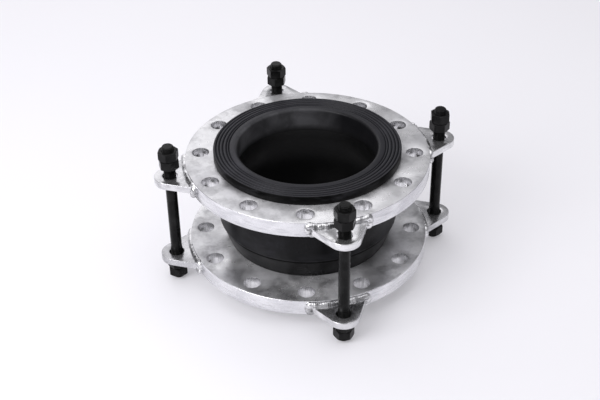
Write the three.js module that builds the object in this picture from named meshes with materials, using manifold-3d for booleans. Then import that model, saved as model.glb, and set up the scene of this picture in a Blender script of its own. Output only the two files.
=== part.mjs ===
// Rubber expansion joint: a single-arch rubber bellows between two steel backing flanges, with four
// control rods that limit how far it can stretch. Millimetres, +Z along the bore. The origin is on the
// bore axis, level with the lower ends of the rods, which the joint stands on.

import * as THREE from "three";
import { mergeVertices } from "three/addons/utils/BufferGeometryUtils.js";
import Module from "manifold-3d";

// Clearance left between pieces that touch.
const GAP = 0.3;

// Bellows.
const FACE_TO_FACE = 210;
const BORE_RADIUS = 116;
const LIP_RADIUS = 155.5;
const LIP_THICKNESS = 15.5;
const BORE_EDGE_ROUND = 3;
const INNER_CROWN_RADIUS = 137;
const OUTER_CROWN_RADIUS = 151;
const CROWN_HALF_HEIGHT = 24.5;
const ARCH_FOOT_RADIUS = 136.6;
const LINER_SHARE = 0.34;
const PLY_SHARE = 0.62;
const FACE_LINER_THICKNESS = 5;
const PLY_THICKNESS = 4.2;
const PLY_END_RADIUS = 150;
const GROOVE_RADII = [132, 140, 148];
const GROOVE_DEPTH = 1.2;
const GROOVE_HALF_WIDTH = 1.5;

// Bead rings inside the rubber ends.
const BEAD_SECTION_RADIUS = 3.2;
const BEAD_SIDES = 6;

// Backing flanges: 12 holes of 26 mm on a 355 mm bolt circle.
const FLANGE_RADIUS = 202.5;
const FLANGE_THICKNESS = 26;
const FLANGE_BORE_RADIUS = 133.5;
const BEAD_SEAT_DEPTH = 10;
const BOLT_CIRCLE_RADIUS = 177.5;
const BOLT_HOLE_RADIUS = 14;
const BOLT_HOLES = 12;

// Lugs and their welds.
const RODS = 4;
const ROD_CIRCLE_RADIUS = 230;
const LUG_THICKNESS = 12;
const LUG_HALF_WIDTH = 48;
const LUG_TIP_RADIUS = 26;
const LUG_HOLE_RADIUS = 12.5;
const FLANK_RUN_ON = 10;
const WELD_LEG = 5.5;

// Control rods and nuts.
const ROD_RADIUS = 10;
const ROD_LENGTH = 260;
const ROD_CHAMFER = 1.5;
const SHANK_RADIUS = 9.25;
const LOWER_THREAD_LENGTH = 62;
const UPPER_THREAD_LENGTH = 74;
const NUT_ACROSS_FLATS = 30;
const NUT_HEIGHT = 16;
const NUT_CLEARANCE = 0.35;
const STRETCH_LIMIT = 16;

// Worked-out levels. Bellows and flanges are built about their middle plane, then lifted to MIDDLE_Z.
const HALF_LENGTH = FACE_TO_FACE / 2;
const FLANGE_OUTER_Z = HALF_LENGTH - LIP_THICKNESS;
const FLANGE_INNER_Z = FLANGE_OUTER_Z - FLANGE_THICKNESS;
const ARCH_FOOT_Z = FLANGE_INNER_Z - GAP;
const NECK_START_Z = FLANGE_INNER_Z + 4;
const NECK_RADIUS = FLANGE_BORE_RADIUS - GAP;
const LUG_MIDDLE_Z = FLANGE_OUTER_Z - FLANGE_THICKNESS / 2;
const FOOT_RADIUS = FLANGE_RADIUS + GAP;
const MIDDLE_Z = 121.5;
const LOWER_LUG_UNDERSIDE = MIDDLE_Z - LUG_MIDDLE_Z - LUG_THICKNESS / 2;
const UPPER_LUG_TOP = MIDDLE_Z + LUG_MIDDLE_Z + LUG_THICKNESS / 2;

// Facets round each round shape.
const FLANGE_SEGMENTS = 60;
const FOOT_SEGMENTS = 120;
const HOLE_SEGMENTS = 12;
const RUBBER_SEGMENTS = 28;
const ROD_SEGMENTS = 16;
const ARCH_STEPS = 4;
const LUG_ARC_STEPS = 6;
const WELD_STEPS = 8;

const wasm = await Module();
wasm.setup();

const galvanised = new THREE.MeshStandardMaterial({ color: 0xc9ccd0, roughness: 0.38, metalness: 0.9 });
const weldMetal = new THREE.MeshStandardMaterial({ color: 0xd4d6d8, roughness: 0.3, metalness: 0.9 });
const blackSteel = new THREE.MeshStandardMaterial({ color: 0x1c1c1e, roughness: 0.5, metalness: 0.6 });
const rubber = new THREE.MeshStandardMaterial({ color: 0x1b1b1d, roughness: 0.6, metalness: 0 });
const nylonCord = new THREE.MeshStandardMaterial({ color: 0xb9a887, roughness: 0.85, metalness: 0 });
const beadSteel = new THREE.MeshStandardMaterial({ color: 0x8a8478, roughness: 0.45, metalness: 0.9 });

// A closed three.js geometry as a solid that can be cut and joined.
function toSolid(geometry) {
  const bare = geometry.index ? geometry.toNonIndexed() : geometry.clone();
  bare.deleteAttribute("normal");
  bare.deleteAttribute("uv");
  const merged = mergeVertices(bare);
  const vertProperties = new Float32Array(merged.attributes.position.array);
  const triVerts = new Uint32Array(merged.index.array);
  return new wasm.Manifold(new wasm.Mesh({ numProp: 3, vertProperties, triVerts }));
}

// A solid back as a three.js geometry.
function toGeometry(solid) {
  const mesh = solid.getMesh();
  const geometry = new THREE.BufferGeometry();
  geometry.setAttribute("position", new THREE.BufferAttribute(new Float32Array(mesh.vertProperties), 3));
  geometry.setIndex(new THREE.BufferAttribute(new Uint32Array(mesh.triVerts), 1));
  geometry.computeVertexNormals();
  return geometry;
}

// A ring about Z from a closed outline of [radius, z] points, listed either way round.
function revolve(outline, segments) {
  const points = outline.map(([radius, z]) => new THREE.Vector2(radius, z));
  if (THREE.ShapeUtils.area(points) < 0) {
    points.reverse();
  }
  points.push(points[0].clone());
  const geometry = new THREE.LatheGeometry(points, segments);
  geometry.rotateX(Math.PI / 2);
  return geometry;
}

// An upright round bar about Z, centred on the origin.
function bar(radius, length, segments) {
  const geometry = new THREE.CylinderGeometry(radius, radius, length, segments);
  geometry.rotateX(Math.PI / 2);
  return geometry;
}

// Radii of the bellows' bore wall and of its outside, at height z above the middle plane. The bore bows
// out between the flanges; the outside has a straight crown and tapers from it to the flanges.
function innerRadius(z) {
  const share = Math.cos(Math.min(Math.abs(z) / FLANGE_INNER_Z, 1) * Math.PI / 2);
  return BORE_RADIUS + (INNER_CROWN_RADIUS - BORE_RADIUS) * share;
}

function outerRadius(z) {
  const fall = (Math.abs(z) - CROWN_HALF_HEIGHT) / (FLANGE_INNER_Z - CROWN_HALF_HEIGHT);
  return THREE.MathUtils.lerp(OUTER_CROWN_RADIUS, ARCH_FOOT_RADIUS, Math.max(fall, 0));
}

// Radius of the surface that lies a given share of the way through the wall.
function wallRadius(z, share) {
  return THREE.MathUtils.lerp(innerRadius(z), outerRadius(z), share);
}

// Heights of the arch's stations from the middle plane, past the crown's edge, up to the flange.
function archHeights() {
  const heights = [0];
  for (let step = 0; step < ARCH_STEPS; step++) {
    heights.push(THREE.MathUtils.lerp(CROWN_HALF_HEIGHT, ARCH_FOOT_Z, step / (ARCH_STEPS - 1)));
  }
  return heights;
}

// A surface inside the wall from the middle plane up into the neck, as [radius, z] points.
function wallLine(share, offset) {
  const line = archHeights().map((z) => [wallRadius(z, share) + offset, z]);
  line.push([THREE.MathUtils.lerp(BORE_RADIUS, NECK_RADIUS, share) + offset, NECK_START_Z]);
  return line;
}

// A full outline from the upper half of an inner line and of an outer line.
function mirroredOutline(innerLine, outerLine) {
  const below = (line) => line.slice(1).map(([radius, z]) => [radius, -z]);
  return [
    ...below(innerLine).reverse(),
    ...innerLine,
    ...outerLine.slice().reverse(),
    ...below(outerLine),
  ];
}

// Ridged sealing face, from the bore's rounded edge out to the lip's rim.
function sealingFaceLine() {
  const line = [
    [BORE_RADIUS, HALF_LENGTH - BORE_EDGE_ROUND],
    [BORE_RADIUS + BORE_EDGE_ROUND, HALF_LENGTH],
  ];
  for (const radius of GROOVE_RADII) {
    line.push([radius - GROOVE_HALF_WIDTH, HALF_LENGTH]);
    line.push([radius, HALF_LENGTH - GROOVE_DEPTH]);
    line.push([radius + GROOVE_HALF_WIDTH, HALF_LENGTH]);
  }
  line.push([LIP_RADIUS, HALF_LENGTH]);
  return line;
}

const LINER_BACK_Z = HALF_LENGTH - FACE_LINER_THICKNESS;
const PLY_BACK_Z = LINER_BACK_Z - GAP - PLY_THICKNESS;
const NECK_LINER_RADIUS = THREE.MathUtils.lerp(BORE_RADIUS, NECK_RADIUS, LINER_SHARE);
const NECK_PLY_RADIUS = THREE.MathUtils.lerp(BORE_RADIUS, NECK_RADIUS, PLY_SHARE);

function innerLiner() {
  const bore = [...wallLine(0, 0), ...sealingFaceLine()];
  const back = [
    ...wallLine(LINER_SHARE, -GAP / 2),
    [NECK_LINER_RADIUS - GAP / 2, LINER_BACK_Z],
    [LIP_RADIUS, LINER_BACK_Z],
  ];
  return revolve(mirroredOutline(bore, back), RUBBER_SEGMENTS);
}

function cordPlies() {
  const bore = [
    ...wallLine(LINER_SHARE, GAP / 2),
    [NECK_LINER_RADIUS + GAP / 2, LINER_BACK_Z - GAP],
    [PLY_END_RADIUS, LINER_BACK_Z - GAP],
  ];
  const back = [
    ...wallLine(PLY_SHARE, -GAP / 2),
    [NECK_PLY_RADIUS - GAP / 2, PLY_BACK_Z],
    [PLY_END_RADIUS, PLY_BACK_Z],
  ];
  return revolve(mirroredOutline(bore, back), RUBBER_SEGMENTS);
}

const BEAD_MIDDLE_RADIUS = NECK_PLY_RADIUS + GAP + BEAD_SECTION_RADIUS;
const BEAD_MIDDLE_Z = PLY_BACK_Z - GAP - BEAD_SECTION_RADIUS;

function outerCover() {
  const pocket = BEAD_SECTION_RADIUS + GAP;
  const bore = [
    ...wallLine(PLY_SHARE, GAP / 2),
    [NECK_PLY_RADIUS + GAP / 2, BEAD_MIDDLE_Z - pocket],
    [BEAD_MIDDLE_RADIUS + pocket, BEAD_MIDDLE_Z - pocket],
    [BEAD_MIDDLE_RADIUS + pocket, PLY_BACK_Z - GAP],
    [PLY_END_RADIUS + GAP, PLY_BACK_Z - GAP],
    [PLY_END_RADIUS + GAP, LINER_BACK_Z - GAP],
    [LIP_RADIUS, LINER_BACK_Z - GAP],
  ];
  const seatTop = FLANGE_OUTER_Z + GAP;
  const back = [
    ...archHeights().map((z) => [outerRadius(z), z]),
    [NECK_RADIUS, ARCH_FOOT_Z],
    [NECK_RADIUS, FLANGE_OUTER_Z - BEAD_SEAT_DEPTH + GAP],
    [NECK_RADIUS + BEAD_SEAT_DEPTH - GAP, seatTop],
    [LIP_RADIUS, seatTop],
  ];
  return revolve(mirroredOutline(bore, back), RUBBER_SEGMENTS);
}

// side is 1 for the upper end and -1 for the lower end.
function beadRing(side) {
  const section = [];
  for (let corner = 0; corner < BEAD_SIDES; corner++) {
    const angle = corner / BEAD_SIDES * 2 * Math.PI;
    const radius = BEAD_MIDDLE_RADIUS + BEAD_SECTION_RADIUS * Math.cos(angle);
    section.push([radius, side * BEAD_MIDDLE_Z + BEAD_SECTION_RADIUS * Math.sin(angle)]);
  }
  return revolve(section, RUBBER_SEGMENTS);
}

// A backing flange: a plate whose bore opens out towards the pipe, to seat the rubber's bead.
function flange(side) {
  const ring = revolve([
    [FLANGE_BORE_RADIUS, side * FLANGE_INNER_Z],
    [FLANGE_RADIUS, side * FLANGE_INNER_Z],
    [FLANGE_RADIUS, side * FLANGE_OUTER_Z],
    [FLANGE_BORE_RADIUS + BEAD_SEAT_DEPTH, side * FLANGE_OUTER_Z],
    [FLANGE_BORE_RADIUS, side * (FLANGE_OUTER_Z - BEAD_SEAT_DEPTH)],
  ], FLANGE_SEGMENTS);
  let solid = toSolid(ring);
  for (let hole = 0; hole < BOLT_HOLES; hole++) {
    const angle = (hole + 0.5) / BOLT_HOLES * 2 * Math.PI;
    const drill = bar(BOLT_HOLE_RADIUS, 2 * FLANGE_THICKNESS, HOLE_SEGMENTS);
    const x = BOLT_CIRCLE_RADIUS * Math.cos(angle);
    const y = BOLT_CIRCLE_RADIUS * Math.sin(angle);
    drill.translate(x, y, side * LUG_MIDDLE_Z);
    solid = solid.subtract(toSolid(drill));
  }
  return toGeometry(solid);
}

// Lug outline in plan, pointing along +X: straight flanks that meet a round tip about the rod. The
// flanks run on inwards past the rim, to be trimmed. grow widens the outline all round.
function lugShape(grow) {
  const footX = Math.sqrt(FOOT_RADIUS ** 2 - LUG_HALF_WIDTH ** 2);
  const reach = Math.hypot(ROD_CIRCLE_RADIUS - footX, LUG_HALF_WIDTH);
  const footBearing = Math.atan2(LUG_HALF_WIDTH, ROD_CIRCLE_RADIUS - footX);
  const flankAngle = Math.asin(LUG_TIP_RADIUS / reach) - footBearing;
  const tipAngle = flankAngle + Math.PI / 2;
  const cornerX = footX + grow * Math.cos(tipAngle) - FLANK_RUN_ON * Math.cos(flankAngle);
  const cornerY = LUG_HALF_WIDTH + grow * Math.sin(tipAngle) - FLANK_RUN_ON * Math.sin(flankAngle);
  const tipRadius = LUG_TIP_RADIUS + grow;
  const tangentX = ROD_CIRCLE_RADIUS + tipRadius * Math.cos(tipAngle);
  const shape = new THREE.Shape();
  shape.moveTo(cornerX, -cornerY);
  shape.lineTo(tangentX, -tipRadius * Math.sin(tipAngle));
  shape.absarc(ROD_CIRCLE_RADIUS, 0, tipRadius, -tipAngle, tipAngle, false);
  shape.lineTo(cornerX, cornerY);
  shape.closePath();
  return shape;
}

// A lug blank, centred on z = 0.
function lugBlank(grow) {
  const depth = LUG_THICKNESS + 2 * grow;
  const options = { depth, bevelEnabled: false, curveSegments: LUG_ARC_STEPS };
  const geometry = new THREE.ExtrudeGeometry(lugShape(grow), options);
  geometry.translate(0, 0, -depth / 2);
  return toSolid(geometry);
}

function lug() {
  const facetedFoot = FOOT_RADIUS / Math.cos(Math.PI / FOOT_SEGMENTS);
  const rim = bar(facetedFoot, 2 * LUG_THICKNESS, FOOT_SEGMENTS);
  const drill = bar(LUG_HOLE_RADIUS, 2 * LUG_THICKNESS, HOLE_SEGMENTS);
  drill.translate(ROD_CIRCLE_RADIUS, 0, 0);
  return toGeometry(lugBlank(0).subtract(toSolid(rim)).subtract(toSolid(drill)));
}

// Fillet weld all round a lug's foot: a band on the rim that thins away from it, less the lug itself.
function lugWeld() {
  const halfAngle = Math.asin((LUG_HALF_WIDTH + WELD_LEG) / FOOT_RADIUS);
  const near = LUG_THICKNESS / 2 + GAP;
  const far = near + WELD_LEG;
  const section = new THREE.Shape();
  section.moveTo(-far, 0);
  section.lineTo(-near, -WELD_LEG);
  section.lineTo(near, -WELD_LEG);
  section.lineTo(far, 0);
  section.closePath();
  const extrudePath = new ArcInPlane(FOOT_RADIUS, -halfAngle, halfAngle);
  const band = new THREE.ExtrudeGeometry(section, { steps: WELD_STEPS, bevelEnabled: false, extrudePath });
  return toGeometry(toSolid(band).subtract(lugBlank(GAP)));
}

// A curve along part of a circle about Z.
class ArcInPlane extends THREE.Curve {
  constructor(radius, startAngle, endAngle) {
    super();
    this.radius = radius;
    this.startAngle = startAngle;
    this.endAngle = endAngle;
  }

  getPoint(t, target = new THREE.Vector3()) {
    const angle = THREE.MathUtils.lerp(this.startAngle, this.endAngle, t);
    return target.set(this.radius * Math.cos(angle), this.radius * Math.sin(angle), 0);
  }
}

// A double-end stud: plain cylinders for the threads, and a thinner shank between them.
function controlRod() {
  const shankEnd = ROD_LENGTH - UPPER_THREAD_LENGTH;
  const shoulder = ROD_RADIUS - SHANK_RADIUS;
  return new THREE.LatheGeometry([
    new THREE.Vector2(0, 0),
    new THREE.Vector2(ROD_RADIUS - ROD_CHAMFER, 0),
    new THREE.Vector2(ROD_RADIUS, ROD_CHAMFER),
    new THREE.Vector2(ROD_RADIUS, LOWER_THREAD_LENGTH),
    new THREE.Vector2(SHANK_RADIUS, LOWER_THREAD_LENGTH + shoulder),
    new THREE.Vector2(SHANK_RADIUS, shankEnd - shoulder),
    new THREE.Vector2(ROD_RADIUS, shankEnd),
    new THREE.Vector2(ROD_RADIUS, ROD_LENGTH - ROD_CHAMFER),
    new THREE.Vector2(ROD_RADIUS - ROD_CHAMFER, ROD_LENGTH),
    new THREE.Vector2(0, ROD_LENGTH),
  ], ROD_SEGMENTS).rotateX(Math.PI / 2);
}

// A hexagon nut centred on the origin, its bore clear of the rod.
function hexNut() {
  const cornerRadius = NUT_ACROSS_FLATS / 2 / Math.cos(Math.PI / 6);
  const boreRadius = (ROD_RADIUS + NUT_CLEARANCE) / Math.cos(Math.PI / HOLE_SEGMENTS);
  const blank = toSolid(bar(cornerRadius, NUT_HEIGHT, 6));
  const drill = toSolid(bar(boreRadius, 2 * NUT_HEIGHT, HOLE_SEGMENTS));
  return toGeometry(blank.subtract(drill));
}

const joint = new THREE.Group();

function addPart(parent, name, geometry, material) {
  const mesh = new THREE.Mesh(geometry, material);
  mesh.name = name;
  parent.add(mesh);
  return mesh;
}

// Bellows and flanges, about the middle plane.
const middle = new THREE.Group();
middle.position.z = MIDDLE_Z;
joint.add(middle);
addPart(middle, "inner_liner", innerLiner(), rubber);
addPart(middle, "cord_plies", cordPlies(), nylonCord);
addPart(middle, "outer_cover", outerCover(), rubber);

for (const [end, side] of [["lower", -1], ["upper", 1]]) {
  addPart(middle, `${end}_flange`, flange(side), galvanised);
  addPart(middle, `${end}_bead_ring`, beadRing(side), beadSteel);
  for (let index = 0; index < RODS; index++) {
    const spoke = new THREE.Group();
    spoke.rotation.z = index / RODS * 2 * Math.PI;
    spoke.position.z = side * LUG_MIDDLE_Z;
    middle.add(spoke);
    addPart(spoke, `${end}_lug_${index + 1}`, lug(), galvanised);
    addPart(spoke, `${end}_lug_weld_${index + 1}`, lugWeld(), weldMetal);
  }
}

// Middle height of each nut on a rod, from the lowest up.
const nutLevels = [
  ["lower_lock_nut", LOWER_LUG_UNDERSIDE - 2 * GAP - 1.5 * NUT_HEIGHT],
  ["lower_limit_nut", LOWER_LUG_UNDERSIDE - GAP - 0.5 * NUT_HEIGHT],
  ["upper_limit_nut", UPPER_LUG_TOP + STRETCH_LIMIT + 0.5 * NUT_HEIGHT],
  ["upper_lock_nut", UPPER_LUG_TOP + STRETCH_LIMIT + GAP + 1.5 * NUT_HEIGHT],
];

// Each nut was tightened to its own angle: these steps spread them out.
const NUT_TURN_PER_ROD = 0.4654;
const NUT_TURN_PER_LEVEL = 0.611;

for (let index = 0; index < RODS; index++) {
  const station = new THREE.Group();
  const angle = index / RODS * 2 * Math.PI;
  station.position.set(ROD_CIRCLE_RADIUS * Math.cos(angle), ROD_CIRCLE_RADIUS * Math.sin(angle), 0);
  joint.add(station);
  addPart(station, `control_rod_${index + 1}`, controlRod(), blackSteel);
  nutLevels.forEach(([name, height], level) => {
    const nut = addPart(station, `${name}_${index + 1}`, hexNut(), blackSteel);
    nut.position.z = height;
    nut.rotation.z = index * NUT_TURN_PER_ROD + level * NUT_TURN_PER_LEVEL;
  });
}

export default joint;
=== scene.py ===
# The looks of a rubber expansion joint with control rods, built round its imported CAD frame. Metres.
import math

import bpy
from mathutils import Matrix, Vector, noise
from mathutils.geometry import delaunay_2d_cdt


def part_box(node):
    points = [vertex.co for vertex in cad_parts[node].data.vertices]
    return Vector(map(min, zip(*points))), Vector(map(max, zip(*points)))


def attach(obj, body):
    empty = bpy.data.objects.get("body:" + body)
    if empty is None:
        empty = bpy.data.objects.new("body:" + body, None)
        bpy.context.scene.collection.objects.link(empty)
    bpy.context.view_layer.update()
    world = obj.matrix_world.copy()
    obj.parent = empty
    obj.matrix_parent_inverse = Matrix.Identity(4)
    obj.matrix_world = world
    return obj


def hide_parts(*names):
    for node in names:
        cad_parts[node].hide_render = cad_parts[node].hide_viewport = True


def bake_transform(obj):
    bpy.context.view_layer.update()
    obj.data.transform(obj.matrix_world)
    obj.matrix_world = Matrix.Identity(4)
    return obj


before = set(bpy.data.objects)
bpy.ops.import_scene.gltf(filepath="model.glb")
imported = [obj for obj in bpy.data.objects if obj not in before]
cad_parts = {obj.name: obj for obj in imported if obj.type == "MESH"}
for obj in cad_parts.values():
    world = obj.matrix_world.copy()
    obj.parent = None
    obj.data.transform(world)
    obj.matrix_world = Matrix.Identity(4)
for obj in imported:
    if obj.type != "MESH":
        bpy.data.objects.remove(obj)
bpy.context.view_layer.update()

MM = 0.001

# ---------------------------------------------------------------------------------------------------
# Sizes read from the frame
# ---------------------------------------------------------------------------------------------------

LINER_LOW, LINER_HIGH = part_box("inner_liner")
COVER_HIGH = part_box("outer_cover")[1]
PLIES_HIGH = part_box("cord_plies")[1]
FLANGE_LOW, FLANGE_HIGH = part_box("upper_flange")
LUG_LOW, LUG_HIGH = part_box("upper_lug_1")
ROD_LOW, ROD_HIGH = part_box("control_rod_1")

MIDDLE_Z = (LINER_LOW.z + LINER_HIGH.z) / 2
HALF_LENGTH = (LINER_HIGH.z - LINER_LOW.z) / 2
LIP_RADIUS = LINER_HIGH.x
FLANGE_RADIUS = FLANGE_HIGH.x
FLANGE_INNER_Z = FLANGE_LOW.z - MIDDLE_Z
FLANGE_OUTER_Z = FLANGE_HIGH.z - MIDDLE_Z
LUG_MIDDLE_Z = (LUG_LOW.z + LUG_HIGH.z) / 2 - MIDDLE_Z
LUG_HALF_THICKNESS = (LUG_HIGH.z - LUG_LOW.z) / 2
LUG_HALF_WIDTH = LUG_HIGH.y
ROD_CIRCLE_RADIUS = (ROD_LOW.x + ROD_HIGH.x) / 2
LUG_TIP_RADIUS = LUG_HIGH.x - ROD_CIRCLE_RADIUS
ROD_RADIUS = (ROD_HIGH.x - ROD_LOW.x) / 2
COVER_TOP_Z = COVER_HIGH.z - MIDDLE_Z
PLIES_TOP_Z = PLIES_HIGH.z - MIDDLE_Z
PLIES_END_RADIUS = PLIES_HIGH.x

# ---------------------------------------------------------------------------------------------------
# Sizes of the finer shapes
# ---------------------------------------------------------------------------------------------------

GAP = 0.3 * MM
SEAM = 0.04 * MM
RODS = 4

BORE_RADIUS = 116 * MM
INNER_CROWN_RADIUS = 137 * MM
INNER_WAVE_POWER = 1.08
FLANGE_BORE_RADIUS = 133.5 * MM
NECK_RADIUS = FLANGE_BORE_RADIUS - GAP
NECK_START_Z = FLANGE_INNER_Z + 4 * MM
BEAD_SEAT_DEPTH = 10 * MM

BAND_HALF_HEIGHT = 24.5 * MM
BAND_RADIUS = 150.7 * MM
BAND_CROWN = 0.8 * MM
STEP_DEPTH = 3.0 * MM
STEP_WIDTH = 4.4 * MM
STEP_MIDDLE_Z = BAND_HALF_HEIGHT + 0.6 * STEP_WIDTH
TAPER_TOP_RADIUS = BAND_RADIUS - 0.6 * STEP_DEPTH
ARCH_FOOT_RADIUS = 136.6 * MM
ARCH_FOOT_ROUND = 1.4 * MM
SHOULDER_BULGE = 0.7 * MM

BORE_EDGE_ROUND = 5 * MM
LIP_EDGE_ROUND = 1.8 * MM
LIP_BACK_CORNER = 0.8 * MM
GROOVE_RADII = (129.5 * MM, 133.5 * MM, 139.5 * MM, 145.3 * MM, 150.6 * MM)
GROOVE_HALF_WIDTH = 1.5 * MM
GROOVE_DEPTH = 2.3 * MM
GROOVE_POINTS = 9
RUBBER_SEGMENTS = 256
WALL_STEPS = 28
BAND_STEPS = 10
TAPER_STEPS = 14

LINER_SHARE = 0.34
PLY_SHARE = 0.62
PLY_END_THICKNESS = 4.2 * MM
LINER_BACK_Z = COVER_TOP_Z + GAP
PLY_BACK_Z = PLIES_TOP_Z - PLY_END_THICKNESS
NECK_LINER_RADIUS = BORE_RADIUS + (NECK_RADIUS - BORE_RADIUS) * LINER_SHARE
NECK_PLY_RADIUS = BORE_RADIUS + (NECK_RADIUS - BORE_RADIUS) * PLY_SHARE

WIRE_RADIUS = 3.2 * MM
WIRE_MIDDLE_RADIUS = NECK_PLY_RADIUS + GAP + WIRE_RADIUS
WIRE_MIDDLE_Z = PLY_BACK_Z - GAP - WIRE_RADIUS
WIRE_SECTION_POINTS = 24
WIRE_TURNS = 24
WIRE_HOLLOW = 0.14

# Direction in plan of the back-left side of the mouth bands, where the painted pool of light lies.
LIT_SIDE_ANGLE = math.radians(114)
MOUTH_BAND_FADE = 12 * MM

BOLT_HOLES = 12
BOLT_CIRCLE_RADIUS = 177.5 * MM
BOLT_HOLE_RADIUS = 14 * MM
FLANGE_EDGE = 1.0 * MM
HOLE_EDGE = 0.9 * MM
RIM_SEGMENTS = 288
HOLE_SEGMENTS = 56
PAINT_MARGIN = 1.0 * MM

LUG_HOLE_RADIUS = 12.5 * MM
LUG_EDGE = 0.9 * MM
LUG_TIP_STEPS = 40
LUG_FOOT_STEPS = 24

WELD_RADIUS = 4.8 * MM
WELD_STAND_OFF = 0.4 * MM
WELD_SIDE_MARGIN = 0.4 * MM
WELD_TOP_MARGIN = 0.6 * MM
WELD_PATH_CORNER = 2.5 * MM
WELD_CORNER_STEPS = 5
WELD_STEPS_PER_MM = 1.3
WELD_SECTION_POINTS = 18
WELD_CORNER_SWELL = 1.3 * MM
WELD_CORNER_REACH = 15 * MM
WELD_RIPPLE = 0.35 * MM
WELD_RIPPLE_PITCH = 3.4 * MM
WELD_LUMP = 1.0 * MM
WELD_CORNER_LUMP = 2.2 * MM
WELD_LUMP_SIZE = 7 * MM
WELD_FINER_LUMPS = 2.3

THREAD_PITCH = 2.5 * MM
THREAD_DEPTH = 1.53 * MM
THREAD_RADIUS = ROD_RADIUS - 0.06 * MM
THREAD_CREST_SHARE = 0.14
THREAD_FLANK_SHARE = 0.62
SHANK_RADIUS = 9.25 * MM
SHANK_STEPS = 8
ROD_SEGMENTS = 48
THREAD_ROWS = 10
LOWER_THREAD_LENGTH = 62 * MM
UPPER_THREAD_LENGTH = 74 * MM
THREAD_FADE = 3 * MM
ROD_END_CHAMFER = 1.6 * MM

NUT_KINDS = ("lower_lock_nut", "lower_limit_nut", "upper_limit_nut", "upper_lock_nut")
NUT_ACROSS_FLATS = 30 * MM
NUT_BORE_RADIUS = ROD_RADIUS + 0.1 * MM
NUT_COUNTERSINK = 0.9 * MM
NUT_CHAMFER_ANGLE = math.radians(30)
NUT_FACE_RADIUS = NUT_ACROSS_FLATS / 2 * 0.955
NUT_CORNER_WEAR = 0.12 * MM
NUT_CORNER_FROM = 1.15
NUT_SEGMENTS = 72
NUT_FIRST_TURN = math.radians(30)
NUT_TURN_PER_ROD = 0.4654
NUT_TURN_PER_LEVEL = 0.611

# ---------------------------------------------------------------------------------------------------
# Mesh building
# ---------------------------------------------------------------------------------------------------


LEVEL_TOLERANCE = 1e-6
MERGE_DISTANCE = 1e-7
SHARPEST_CORNER = 0.4


def make_object(name, vertices, faces, sharp_degrees=32, flat_ends=False):
    """A smooth-shaded mesh object whose edges are sharp where they bend more than sharp_degrees. With
    flat_ends, level faces are shaded flat."""
    mesh = bpy.data.meshes.new(name)
    mesh.from_pydata(vertices, [], faces)
    mesh.update()
    smooth = [not (flat_ends and is_level(vertices, face)) for face in faces]
    mesh.polygons.foreach_set("use_smooth", smooth)
    mesh.set_sharp_from_angle(angle=math.radians(sharp_degrees))
    made = bpy.data.objects.new(name, mesh)
    bpy.context.scene.collection.objects.link(made)
    return made


def is_level(vertices, face):
    """Whether all corners of a face are at one height."""
    heights = [vertices[index][2] for index in face]
    return max(heights) - min(heights) < LEVEL_TOLERANCE


def polar(radius, angle, z):
    return (radius * math.cos(angle), radius * math.sin(angle), z)


def revolve(outline_at, segments):
    """Vertices and faces of a ring about Z. outline_at(angle) gives its closed outline as (radius, z)
    points, anticlockwise, the same number at every angle."""
    vertices = []
    count = len(outline_at(0.0))
    for turn in range(segments):
        angle = turn / segments * math.tau
        vertices += [polar(radius, angle, z) for radius, z in outline_at(angle)]
    faces = []
    for turn in range(segments):
        here = turn * count
        there = (turn + 1) % segments * count
        for i in range(count):
            j = (i + 1) % count
            faces.append((here + i, there + i, there + j, here + j))
    return vertices, faces


def spindle(outline_at, segments):
    """Vertices and faces of a solid bar about Z. outline_at(angle) gives the (radius, z) points of its
    side from the bottom up; a fan closes each end."""
    rows = len(outline_at(0.0))
    vertices = []
    for turn in range(segments):
        angle = turn / segments * math.tau
        vertices += [polar(radius, angle, z) for radius, z in outline_at(angle)]
    faces = []
    for turn in range(segments):
        here = turn * rows
        there = (turn + 1) % segments * rows
        for i in range(rows - 1):
            faces.append((here + i, there + i, there + i + 1, here + i + 1))
    bottom = len(vertices)
    vertices.append((0.0, 0.0, outline_at(0.0)[0][1]))
    vertices.append((0.0, 0.0, outline_at(0.0)[-1][1]))
    for turn in range(segments):
        here = turn * rows
        there = (turn + 1) % segments * rows
        faces.append((bottom, there, here))
        faces.append((bottom + 1, here + rows - 1, there + rows - 1))
    return vertices, faces


def circle(radius, count, centre=(0.0, 0.0), hole=False):
    """Points of a circle: anticlockwise, or clockwise for a hole."""
    step = -math.tau / count if hole else math.tau / count
    return [(centre[0] + radius * math.cos(i * step), centre[1] + radius * math.sin(i * step))
            for i in range(count)]


def inward_normals(points):
    """At each point of a closed outline, the direction into the material, which is on its left. It is
    longer at a corner, so that both sides move in by the same amount."""
    normals = []
    count = len(points)
    for i in range(count):
        before = (Vector(points[i]) - Vector(points[i - 1])).normalized()
        after = (Vector(points[(i + 1) % count]) - Vector(points[i])).normalized()
        tangent = (before + after).normalized()
        lengthening = 1 / max(tangent.dot(after), SHARPEST_CORNER)
        normals.append((-tangent.y * lengthening, tangent.x * lengthening))
    return normals


def is_inside(x, y, outlines):
    """Whether a point is in the material between closed outlines."""
    crossings = 0
    for outline in outlines:
        for i, (x1, y1) in enumerate(outline):
            x0, y0 = outline[i - 1]
            if (y0 > y) != (y1 > y) and x < x0 + (y - y0) / (y1 - y0) * (x1 - x0):
                crossings += 1
    return crossings % 2 == 1


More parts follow.
